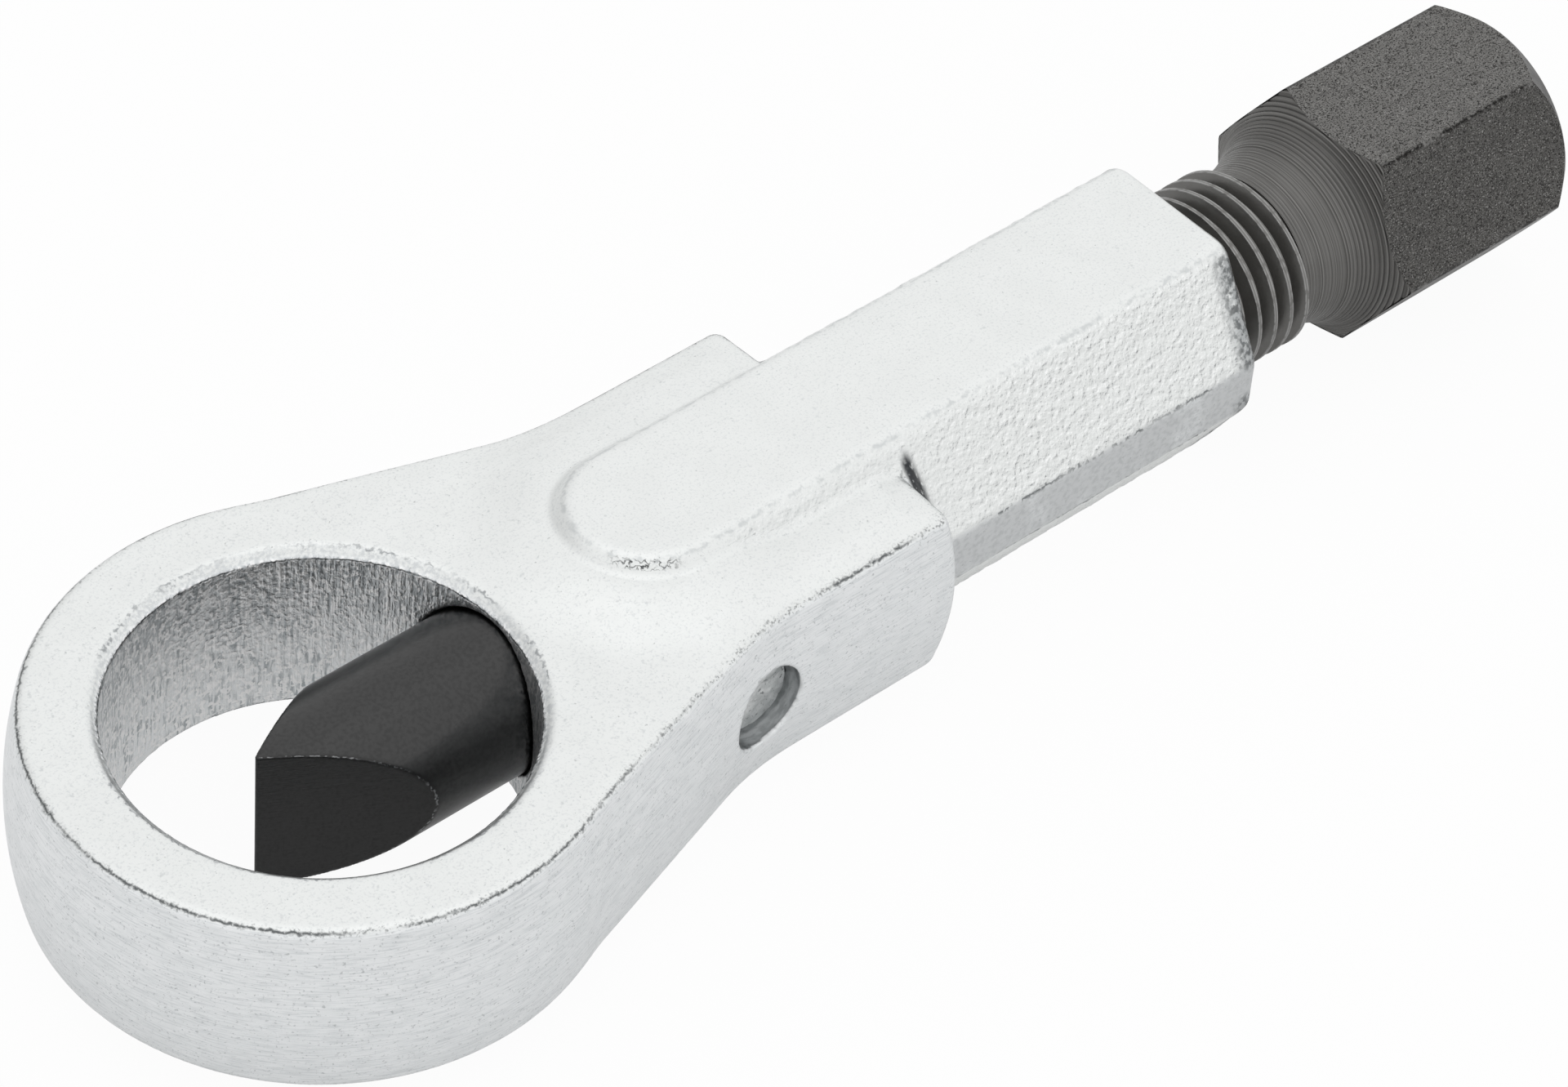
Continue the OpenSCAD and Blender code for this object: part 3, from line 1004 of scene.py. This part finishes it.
        # Bare pairs of numbers, here and in wear_and_shade, are the two ends of a layer's soft edge
        x, y, z = points.T
        up = np.abs(z)
        found = self.surfaces(x, y, z)
        near_plate = np.abs(self.plate(found)) < self.line_reach
        shank = self.shank(x, found)
        near_shank = np.abs(shank) < self.line_reach
        skin = near(self.outside(x, y, z), 0.05, 0.25)
        side = skin * near(found["side"], 0.0, 0.3) * smooth_step(0.0, 0.5, -found["face"])
        on_shank = skin * smooth_step(0.4, 0.0, shank)
        band = on_shank * near(found["band"], 0.0, 0.25)
        edge_z = np.where(z < 0, self.band_low, self.band_z)
        rough = on_shank * near(found["flank"], 0.05, 0.35) * smooth_step(-0.1, 0.3, up - edge_z)
        rough *= smooth_step(self.nose_x, self.nose_x + self.nose_run, x)
        rough *= self.ear_rough + (1 - self.ear_rough) * smooth_step(*self.rough_x, x)
        from_bore = np.hypot(x, y) - self.bore_r
        in_bore = (1 - skin) * near(from_bore, 0.1, 0.3)
        from_hole = np.hypot(x - self.pin_x, z) - self.pin_r
        in_hole = (1 - skin) * (y < -self.guide_r) * near(from_hole, 0.1, 0.3)
        mouth_z = self.face_z - self.bore_bevel
        mouth = np.where(from_bore < self.wall_slack, up - mouth_z, from_bore)
        return self.wear_and_shade(points, skin, found) | {
            Zone.RIM: np.where(near_plate, found["side"] - found["face"], FAR),
            Zone.MOUTH: np.where(up > mouth_z - self.mouth_reach, mouth, FAR),
            Zone.FLAT_EDGE: np.where(near_shank, found["flank"] - found["flat"], FAR),
            Zone.BAND_EDGE: np.where(near_shank, found["band"] - found["flank"], FAR),
            Zone.GROUND: np.maximum(side, band),
            Zone.BAND: band,
            Zone.ROUGH: rough,
            Zone.BORE: in_bore,
            Zone.BORE_TOP_SHADE: in_bore * smooth_step(*self.bore_top, z),
            Zone.HOLE: in_hole,
        }

    def wear_and_shade(
        self, points: np.ndarray, skin: np.ndarray, found: Mapping[str, np.ndarray]
    ) -> dict[Zone, np.ndarray]:
        """Works out where the forging has chipped or worn, and where shade is painted into the fillet behind
        the ears.

        Args:
            points: Points on the surface.
            skin: 1 on the outside of the forging, and 0 in its bores.
            found: Distance to each outer surface, by its name.

        Returns:
            One value to a point for each layer of wear and of painted shade.
        """
        x, y, z = points.T
        up = np.abs(z)
        # Painted shade in the fillet where the ears' ends meet the shank
        in_fillet = smooth_step(0.02, 0.24, np.minimum(self.plate(found), self.shank(x, found)))
        root = skin * in_fillet * smooth_step(*self.root_z, up)
        root *= smooth_step(*self.root_x, x)
        chip_x, chip_y, chip_z = self.chip_at
        chip = near(np.hypot(x - chip_x, y - chip_y), *self.chip_reach)
        chip *= near(z - chip_z, *self.chip_band)
        to_end = self.shank_end - x
        strip = skin * near(to_end, *self.strip_w) * smooth_step(0.2, 1.2, -found["flat"])
        strip *= smooth_step(*self.strip_z, up) * smooth_step(0.1, 0.5, to_end)
        on_web = smooth_step(*self.web_from, x) * smooth_step(*self.web_to, x)
        return {
            Zone.SHANK_END: strip,
            Zone.ROOT_SHADE: root,
            Zone.CHIP: chip,
            Zone.WORN: 1 - self.web_clean * on_web,
        }


@dataclass
class GuidePin:
    """Pin in the side hole, with a slim nose in the keyway and a rough outer end; sizes in millimetres."""

    place: Place
    along_x: float = 34.9
    tip: float = 5.6
    nose_r: float = 2.3
    shoulder: float = 8.1
    pin_r: float = 3.97
    bevel: float = 0.35
    end: float = 14.2
    end_lump: float = 0.12
    end_grain: float = 1.2
    end_rings: int = 10
    sides: int = 64

    def build(self) -> None:
        """Meshes and dresses the pin."""
        rim = self.pin_r - self.bevel
        outline = [
            (self.tip, 0.0),
            (self.tip, self.nose_r - self.bevel),
            (self.tip + self.bevel, self.nose_r),
            (self.shoulder, self.nose_r),
            (self.shoulder, self.pin_r),
            (self.end - self.bevel, self.pin_r),
        ]
        outline += [(self.end, rim * (1 - ring / self.end_rings)) for ring in range(self.end_rings + 1)]
        turn = np.linspace(0, 2 * np.pi, self.sides + 1)
        points = np.array([
            np.stack((self.along_x + r * np.cos(turn), np.full_like(turn, -y), r * np.sin(turn)), axis=1)
            for y, r in outline
        ])
        at_end = points[..., 1] < -self.end + TOUCH
        points[at_end, 1] += self.end_lump * noise_at(points[at_end], self.end_grain)
        piece = Piece("guide_pin_skin", "guide_pin", "pin_steel", Body.FRAME, TURNED_PIN_STEEL)
        made = piece.make(self.place.metres(points.reshape(-1, 3)), grid_faces(*points.shape[:2]))
        weld(made)
        add_layers(made, {})


@dataclass
class Chisel:
    """Keyed round bar with a wedge end and a socket for the spindle's nose; sizes in millimetres."""

    place: Place
    bar_r: float = 7.6
    tip: float = -6.7
    edge_half: float = 0.15
    wedge_half_deg: float = 30.0
    rear: float = 64.0
    rear_bevel: float = 0.6
    socket_r: float = 4.2
    socket_floor: float = 52.0
    groove_x: float = 61.025
    groove_half: float = 0.65
    groove_r: float = 4.75
    key_front: float = 19.7
    key_back: float = 44.6
    key_r: float = 2.5
    key_floor: float = 5.4
    edge: float = 0.12
    wedge_soft: tuple[float, float] = (0.05, 0.3)
    edge_reach: float = 1.5
    cell: float = 0.24

    def bar(self, y: np.ndarray, z: np.ndarray) -> np.ndarray:
        """Distance to the round of the bar."""
        return np.hypot(y, z) - self.bar_r

    def wedge(self, x: np.ndarray, y: np.ndarray) -> np.ndarray:
        """Distance to the two ground faces that meet at the cutting edge."""
        angle = math.radians(self.wedge_half_deg)
        return (np.abs(y) - self.edge_half) * math.cos(angle) - (x - self.tip) * math.sin(angle)

    def field(self, x: np.ndarray, y: np.ndarray, z: np.ndarray) -> np.ndarray:
        """Distance to the chisel.

        Args:
            x: Along the screw.
            y: Across.
            z: Height from the parting plane.

        Returns:
            Signed distance, negative inside the metal.
        """
        solid = smooth_max(self.bar(y, z), self.wedge(x, y), self.edge)
        solid = smooth_max(solid, self.tip - x, self.edge)
        bevel = (self.bar(y, z) + x - self.rear + self.rear_bevel) * math.sqrt(0.5)
        solid = smooth_max(solid, np.maximum(x - self.rear, bevel), self.edge)
        round_x = np.hypot(y, z)
        socket = np.maximum(round_x - self.socket_r, self.socket_floor - x)
        groove = np.maximum(round_x - self.groove_r, np.abs(x - self.groove_x) - self.groove_half)
        solid = smooth_max(solid, -np.minimum(socket, groove), self.edge)
        key = np.hypot(x - np.clip(x, self.key_front, self.key_back), z) - self.key_r
        return smooth_max(solid, -np.maximum(key, y + self.key_floor), self.edge)

    def build(self) -> None:
        """Meshes and dresses the chisel."""
        low = Vector((self.tip, -self.bar_r, -self.bar_r))
        high = Vector((self.rear, self.bar_r, self.bar_r))
        points, quads = mesh_field(self.field, low, high, self.cell)
        x, y, z = points.T
        wedge = self.wedge(x, y)
        bar = self.bar(y, z)
        near_edge = np.maximum(np.abs(wedge), np.abs(bar)) < self.edge_reach
        layers = {
            Zone.WEDGE: near(wedge, *self.wedge_soft),
            Zone.WEDGE_EDGE: np.where(near_edge, wedge - bar, FAR),
        }
        piece = Piece("wedge_chisel", "chisel", "black_steel", Body.CHISEL, BLACK_OXIDE)
        add_layers(piece.make(self.place.metres(points), quads), layers)


@dataclass
class Spindle:
    """Screw with a nose, a right-hand thread, a turned neck and a hex head.

    Sizes are millimetres. Angles are named _deg, and end_shade, ring_faint and bevel_step are shares;
    end_shade is how strongly painted shade darkens the turned end.
    """

    place: Place
    nose_front: float = 58.05
    nose_r: float = 4.0
    nose_bevel: float = 0.4
    groove_x: float = 61.025
    groove_half: float = 0.65
    groove_r: float = 3.45
    thread_start: float = 64.3
    thread_end: float = 107.45
    pitch: float = 2.0
    crest_r: float = 8.92
    root_r: float = 7.72
    crest_half: float = 0.2
    crest_rub: float = 0.1
    root_half: float = 0.2
    root_rise: float = 0.06
    run_out: float = 6.0
    neck_x: float = 107.5
    neck_r: float = 7.9
    hex_start: float = 116.6
    hex_end: float = 138.6
    hex_half: float = 11.0
    corner_r: float = 12.6
    face_r: float = 10.9
    face_edge: float = 0.3
    bevel_deg: float = 53.5
    bevel_step: float = 0.1
    # How strongly painted shade darkens the turned end
    end_shade: float = 0.85
    hex_turn_deg: float = 56.5
    ring_gap: float = 0.34
    ring_depth: float = 0.12
    ring_faint: float = 0.3
    ring_fade: tuple[float, float] = (0.3, 0.9)
    # Hex flat that faces up and gets the painted light
    lit_side: int = 5
    ring_rows: int = 6
    hex_rings: int = 9

    def __post_init__(self) -> None:
        """Works out the neck's arc, which runs out on the hex corners."""
        sharp_r = self.hex_half / math.cos(math.radians(30))
        run = self.hex_start - self.neck_x
        rise = sharp_r - self.neck_r
        self.arc_r = (run * run + rise * rise) / (2 * rise)

    def columns(self) -> np.ndarray:
        """Works out the columns of the grid, which are closest together at the hex corners.

        Returns:
            Angles in degrees, of which the last closes the turn.
        """
        half_side = np.array([0.0, 5.0, 10.0, 15.0, 20.0, 25.0, 28.0, 29.3])
        offsets = np.concatenate([[-30.0], -half_side[:0:-1], half_side])
        first = 180 - self.hex_turn_deg + 30
        sides = first + 60 * np.arange(6)
        return np.append((sides[:, None] + offsets).ravel(), first - 30 + 360)

    def past_corner(self, angle: np.ndarray) -> np.ndarray:
        """Counts angles in degrees from a corner of the hex."""
        return angle - 180 + self.hex_turn_deg

    def hex_radius(self, angle: np.ndarray) -> np.ndarray:
        """Distance of the hex from the axis at angles in degrees, with its corners broken."""
        from_side = self.past_corner(angle) % 60 - 30
        return np.minimum(self.hex_half / np.cos(np.radians(from_side)), self.corner_r)

    def thread_rows(self, angle: np.ndarray) -> Rows:
        """Rows of the thread, which climb one pitch in a turn.

        Args:
            angle: Angles of the columns in degrees.

        Returns:
            Place along the screw and radius of each column, row by row.
        """
        turns = math.ceil((self.thread_end - self.thread_start) / self.pitch) + 1
        climb = self.pitch * (angle - angle[0]) / 360
        tooth = (
            (-self.crest_half - self.crest_rub / 2, self.crest_r - self.crest_rub),
            (-self.crest_half, self.crest_r),
            (0.0, self.crest_r - self.crest_rub / 4),
            (self.crest_half, self.crest_r),
            (self.crest_half + self.crest_rub / 2, self.crest_r - self.crest_rub),
            (self.pitch / 2 - self.root_half, self.root_r + self.root_rise),
            (self.pitch / 2, self.root_r),
            (self.pitch / 2 + self.root_half, self.root_r + self.root_rise),
        )
        rows = []
        for turn in range(-1, turns):
            for along, radius in tooth:
                x = self.thread_start + turn * self.pitch + climb + along
                x = np.clip(x, self.thread_start, self.thread_end)
                lead = np.minimum(x - self.thread_start, self.run_out * (self.thread_end - x))
                rows.append((x, np.minimum(radius, self.root_r + lead)))
        return rows

    def neck_run(self, angle: np.ndarray) -> np.ndarray:
        """Length of the neck up to where it meets the hex, at angles in degrees."""
        last = np.arccos(1 - (self.hex_radius(angle) - self.neck_r) / self.arc_r)
        return self.arc_r * np.sin(last)

    def neck_rows(self, angle: np.ndarray) -> Rows:
        """Rows of the turned neck with its tool rings, which end where they meet the hex.

        Args:
            angle: Angles of the columns in degrees.

        Returns:
            Place along the screw and radius of each column, row by row.
        """
        run = self.neck_run(angle)
        count = math.ceil(run.max() / self.ring_gap) * self.ring_rows
        rows = []
        for row in range(count + 1):
            along = np.minimum(run.max() * row / count, run)
            turn = np.arcsin(along / self.arc_r)
            reach = self.arc_r + self.ring_depth * self.ring_wave(along)
            radius = self.neck_r + self.arc_r - reach * np.cos(turn)
            rows.append((self.neck_x + reach * np.sin(turn), radius))
        return rows

    def ring_wave(self, along: np.ndarray) -> np.ndarray:
        """Depth of the tool rings, from 0 to 1, at distances from the start of the neck."""
        wave = 0.5 - 0.5 * np.cos(2 * np.pi * along / self.ring_gap)
        deeper = smooth_step(*self.ring_fade, along / (self.hex_start - self.neck_x))
        return wave * (self.ring_faint + (1 - self.ring_faint) * deeper)

    def hex_rows(self, angle: np.ndarray) -> Rows:
        """Rows of the hex head and its bevelled end.

        Args:
            angle: Angles of the columns in degrees.

        Returns:
            Place along the screw and radius of each column, row by row.
        """
        radius = self.hex_radius(angle)
        start = self.neck_x + self.neck_run(angle)
        end = self.hex_end - (radius - self.face_r) * math.tan(math.radians(self.bevel_deg))
        rows = [(start + (end - start) * share, radius) for share in np.linspace(0, 1, self.hex_rings)]
        on_bevel = radius + self.bevel_step * (self.face_r - radius)
        rows.append((end + self.bevel_step * (self.hex_end - end), on_bevel))
        level = np.full_like(angle, self.hex_end)
        rings = (self.face_r, self.face_r - self.face_edge, self.nose_r, 0.0)
        return rows + [(level, np.full_like(angle, r)) for r in rings]

    def nose_rows(self, angle: np.ndarray) -> Rows:
        """Rows of the nose with its groove.

        Args:
            angle: Angles of the columns in degrees.

        Returns:
            Place along the screw and radius of each column, row by row.
        """
        groove_in = self.groove_x - self.groove_half
        groove_out = self.groove_x + self.groove_half
        outline = (
            (self.nose_front, 0.0),
            (self.nose_front, self.nose_r - self.nose_bevel),
            (self.nose_front + self.nose_bevel, self.nose_r),
            (groove_in, self.nose_r),
            (groove_in, self.groove_r),
            (groove_out, self.groove_r),
            (groove_out, self.nose_r),
            (self.thread_start, self.nose_r),
        )
        return [(np.full_like(angle, x), np.full_like(angle, r)) for x, r in outline]

    def build(self) -> None:
        """Meshes and dresses the spindle."""
        angle = self.columns()
        rows = self.nose_rows(angle) + self.thread_rows(angle)
        rows += self.neck_rows(angle) + self.hex_rows(angle)
        turn = np.radians(angle)
        points = np.array([np.stack((x, r * np.cos(turn), r * np.sin(turn)), axis=1) for x, r in rows])
        piece = Piece("screw_spindle", "spindle", "phosphate_steel", Body.SPINDLE, DARK_PHOSPHATE)
        made = piece.make(self.place.metres(points.reshape(-1, 3)), grid_faces(*points.shape[:2]))
        weld(made)
        add_layers(made, self.layers(made.data))

    def layers(self, mesh: bpy.types.Mesh) -> dict[Zone, np.ndarray]:
        """Works out where each point of the welded mesh lies on the spindle.

        Args:
            mesh: Mesh of the spindle.

        Returns:
            One value to a point for each layer of the finish.
        """
        flat = np.empty(3 * len(mesh.vertices))
        mesh.vertices.foreach_get("co", flat)
        x, y, z = self.place.millimetres(flat.reshape(-1, 3)).T
        radius = np.hypot(y, z)
        angle = np.degrees(np.arctan2(z, y))
        on_thread = (x < self.thread_end) & (x > self.thread_start)
        from_side = np.abs(self.past_corner(angle) % 60 - 30)
        corner = self.hex_half * (math.tan(math.radians(30)) - np.tan(np.radians(from_side)))
        on_hex = (radius > self.hex_radius(angle) - TOUCH) & (x > self.neck_x)
        on_neck = (x > self.thread_end) & ~on_hex
        on_end = (x > (self.hex_start + self.hex_end) / 2) & ~on_hex
        along = np.where(on_end, radius, np.clip(x - self.neck_x, 0, None))
        side = np.floor(self.past_corner(angle) % 360 / 60)
        return {
            Zone.NECK: on_neck.astype(float),
            Zone.NECK_RING: np.where(on_neck, along, 0.0),
            # Painted shade: deep in the tool rings and on the turned end
            Zone.NECK_SHADE: np.where(on_end, self.end_shade, on_neck * self.ring_wave(along)),
            # Painted light on the upward hex flat
            Zone.HEX_TOP_LIGHT: (on_hex & (side == self.lit_side)).astype(float),
            Zone.THREAD: on_thread.astype(float),
            Zone.CREST: on_thread * smooth_step(self.crest_r - self.crest_rub / 4, self.crest_r, radius),
            Zone.HEX: on_hex.astype(float),
            Zone.HEX_EDGE: np.where(on_hex, corner, FAR),
        }


@dataclass(frozen=True)
class InnerPieces:
    """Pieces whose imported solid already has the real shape, each with its finish."""

    nodes: Mapping[str, bpy.types.Object]

    def dress(self) -> None:
        """Gives each piece its finish."""
        finishes = {
            "thrust_ball": POLISHED_BALL_STEEL,
            "retaining_ring": SPRING_WIRE,
        }
        for name, finish in finishes.items():
            mesh = self.nodes[name].data
            mesh.materials.clear()
            mesh.materials.append(finish.material())
            LOG.info("%s: %s", name, finish.name)


@dataclass(frozen=True)
class Studio:
    """Pale floor under a white overhead tent, with the camera at the photograph's viewing angle.

    Attributes:
        place: Where the ring centre lies.
        floor_size: Side of the floor in metres.
        floor_tone: sRGB hex tone of the floor.
        sky: Strength of the white tent.
        dim_wall: How much of its light is missing from the wall behind the part.
        dim_towards: Direction of that wall.
        wall_edge: How far a direction turns to the wall where it starts to dim, and where it is dimmest.
        lamp_gain: How much brighter the tent is where the lamp shines through its top.
        lamp_edge: How far a direction turns up where that light starts, and where it is full.
        seen_white: How much of the floor is plain white to the camera; the rest keeps the shadow.
        mirrored_white: How much of it is plain white in reflections.
        azimuth: Turn of the view about the upright in degrees.
        elevation: Height of the view in degrees.
        roll: Tilt of the picture in degrees.
        focal_px: Focal length in pixels of the photograph.
        photo_px: Width of the photograph in pixels.
        stand: Camera's place from the ring centre in millimetres.
    """

    place: Place
    floor_size: float = 6.0
    floor_tone: str = "#E6E6E6"
    sky: float = 1.0
    dim_wall: float = 0.25
    dim_towards: tuple[float, float, float] = (-0.35, 0.93, 0.0)
    wall_edge: tuple[float, float] = (0.5, 0.95)
    lamp_gain: float = 0.15
    lamp_edge: tuple[float, float] = (0.8, 0.98)
    seen_white: float = 0.95
    mirrored_white: float = 0.3
    azimuth: float = -45.429
    elevation: float = 44.088
    roll: float = 5.258
    focal_px: float = 7497.24
    photo_px: int = 1920
    stand: tuple[float, float, float] = (-220.17, -267.60, 366.17)

    def build(self) -> None:
        """Makes floor, light and camera."""
        scene = bpy.context.scene
        scene.view_settings.view_transform = "Standard"
        self.floor()
        world = bpy.data.worlds.new("white_tent")
        world.use_nodes = True
        tree = world.node_tree
        tent = tree.nodes["Background"]
        tent.inputs["Color"].default_value = linear("#FFFFFF")
        towards = add_node(tree, Kind.PLACE, out="Generated")
        settings = {"operation": "DOT_PRODUCT", 1: self.dim_towards}
        facing = add_node(tree, Kind.VECTOR, settings, {0: towards}, "Value")
        soft = {"interpolation_type": "SMOOTHSTEP"}
        fade = soft | {"From Min": self.wall_edge[0], "From Max": self.wall_edge[1]}
        fade |= {"To Min": self.sky, "To Max": self.sky * (1 - self.dim_wall)}
        wall = add_node(tree, Kind.WINDOW, fade, {"Value": facing})
        settings = {"operation": "DOT_PRODUCT", 1: (0.0, 0.0, 1.0)}
        rise = add_node(tree, Kind.VECTOR, settings, {0: towards}, "Value")
        glow = soft | {"From Min": self.lamp_edge[0], "From Max": self.lamp_edge[1]}
        glow |= {"To Min": 1.0, "To Max": 1.0 + self.lamp_gain}
        lamp = add_node(tree, Kind.WINDOW, glow, {"Value": rise})
        strength = add_node(tree, Kind.MATH, {"operation": "MULTIPLY"}, {0: wall, 1: lamp})
        tree.links.new(strength, tent.inputs["Strength"])
        scene.world = world
        self.camera()

    def floor(self) -> None:
        """Makes the floor, which is white to the camera but keeps a soft shadow."""
        half = self.floor_size / 2
        mesh = bpy.data.meshes.new("floor")
        corners = [(-half, -half, 0), (half, -half, 0), (half, half, 0), (-half, half, 0)]
        mesh.from_pydata(corners, [], [(0, 1, 2, 3)])
        paint = bpy.data.materials.new("studio_paper")
        paint.use_nodes = True
        tree = paint.node_tree
        tree.nodes.remove(tree.nodes["Principled BSDF"])
        paper = add_node(tree, Kind.DIFFUSE, {"Color": linear(self.floor_tone)})
        white = add_node(tree, Kind.GLOW, {"Color": linear("#FFFFFF"), "Strength": 1.0})
        seen = add_node(tree, Kind.RAY, out="Is Camera Ray")
        seen = add_node(tree, Kind.MATH, {"operation": "MULTIPLY", 1: self.seen_white}, {0: seen})
        mirrored = add_node(tree, Kind.RAY, out="Is Glossy Ray")
        through = add_node(tree, Kind.RAY, out="Is Transmission Ray")
        mirrored = add_node(tree, Kind.MATH, {"operation": "MAXIMUM"}, {0: mirrored, 1: through})
        scaled = {"operation": "MULTIPLY", 1: self.mirrored_white}
        mirrored = add_node(tree, Kind.MATH, scaled, {0: mirrored})
        share = add_node(tree, Kind.MATH, {"operation": "MAXIMUM"}, {0: seen, 1: mirrored})
        surface = add_node(tree, Kind.MIX_SHADER, None, {0: share, 1: paper, 2: white})
        tree.links.new(surface, tree.nodes["Material Output"].inputs["Surface"])
        mesh.materials.append(paint)
        made = bpy.data.objects.new("floor", mesh)
        bpy.context.scene.collection.objects.link(made)
        made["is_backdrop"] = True

    def camera(self) -> None:
        """Places the camera as the photograph was taken."""
        turn = math.radians(self.azimuth)
        rise = math.radians(self.elevation)
        tilt = math.radians(self.roll)
        back = Vector((math.sin(turn) * math.cos(rise), -math.cos(turn) * math.cos(rise), math.sin(rise)))
        level = Vector((math.cos(turn), math.sin(turn), 0))
        upright = back.cross(level)
        right = level * math.cos(tilt) + upright * math.sin(tilt)
        up = upright * math.cos(tilt) - level * math.sin(tilt)
        lens = bpy.data.cameras.new("photo_camera")
        lens.sensor_fit = "HORIZONTAL"
        lens.lens = lens.sensor_width * self.focal_px / self.photo_px
        lens.clip_end = 100
        made = bpy.data.objects.new("photo_camera", lens)
        made.matrix_world = Matrix((right, up, back)).transposed().to_4x4()
        made.location = Vector(self.place.metres(np.array(self.stand)))
        bpy.context.scene.collection.objects.link(made)
        bpy.context.scene.camera = made


def main() -> None:
    """Builds every piece in order."""
    logging.basicConfig(level=logging.INFO)
    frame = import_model()
    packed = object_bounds()
    shank_low, shank_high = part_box("forged_body")
    place = Place(x=ForgedBody.ring_r - packed[1].x / MM, z=(shank_low.z + shank_high.z) / 2 / MM)
    Studio(place).build()
    ForgedBody(place).build()
    GuidePin(place).build()
    Chisel(place).build()
    Spindle(place).build()
    InnerPieces(frame["nodes"]).dress()


if __name__ == "__main__":
    main()
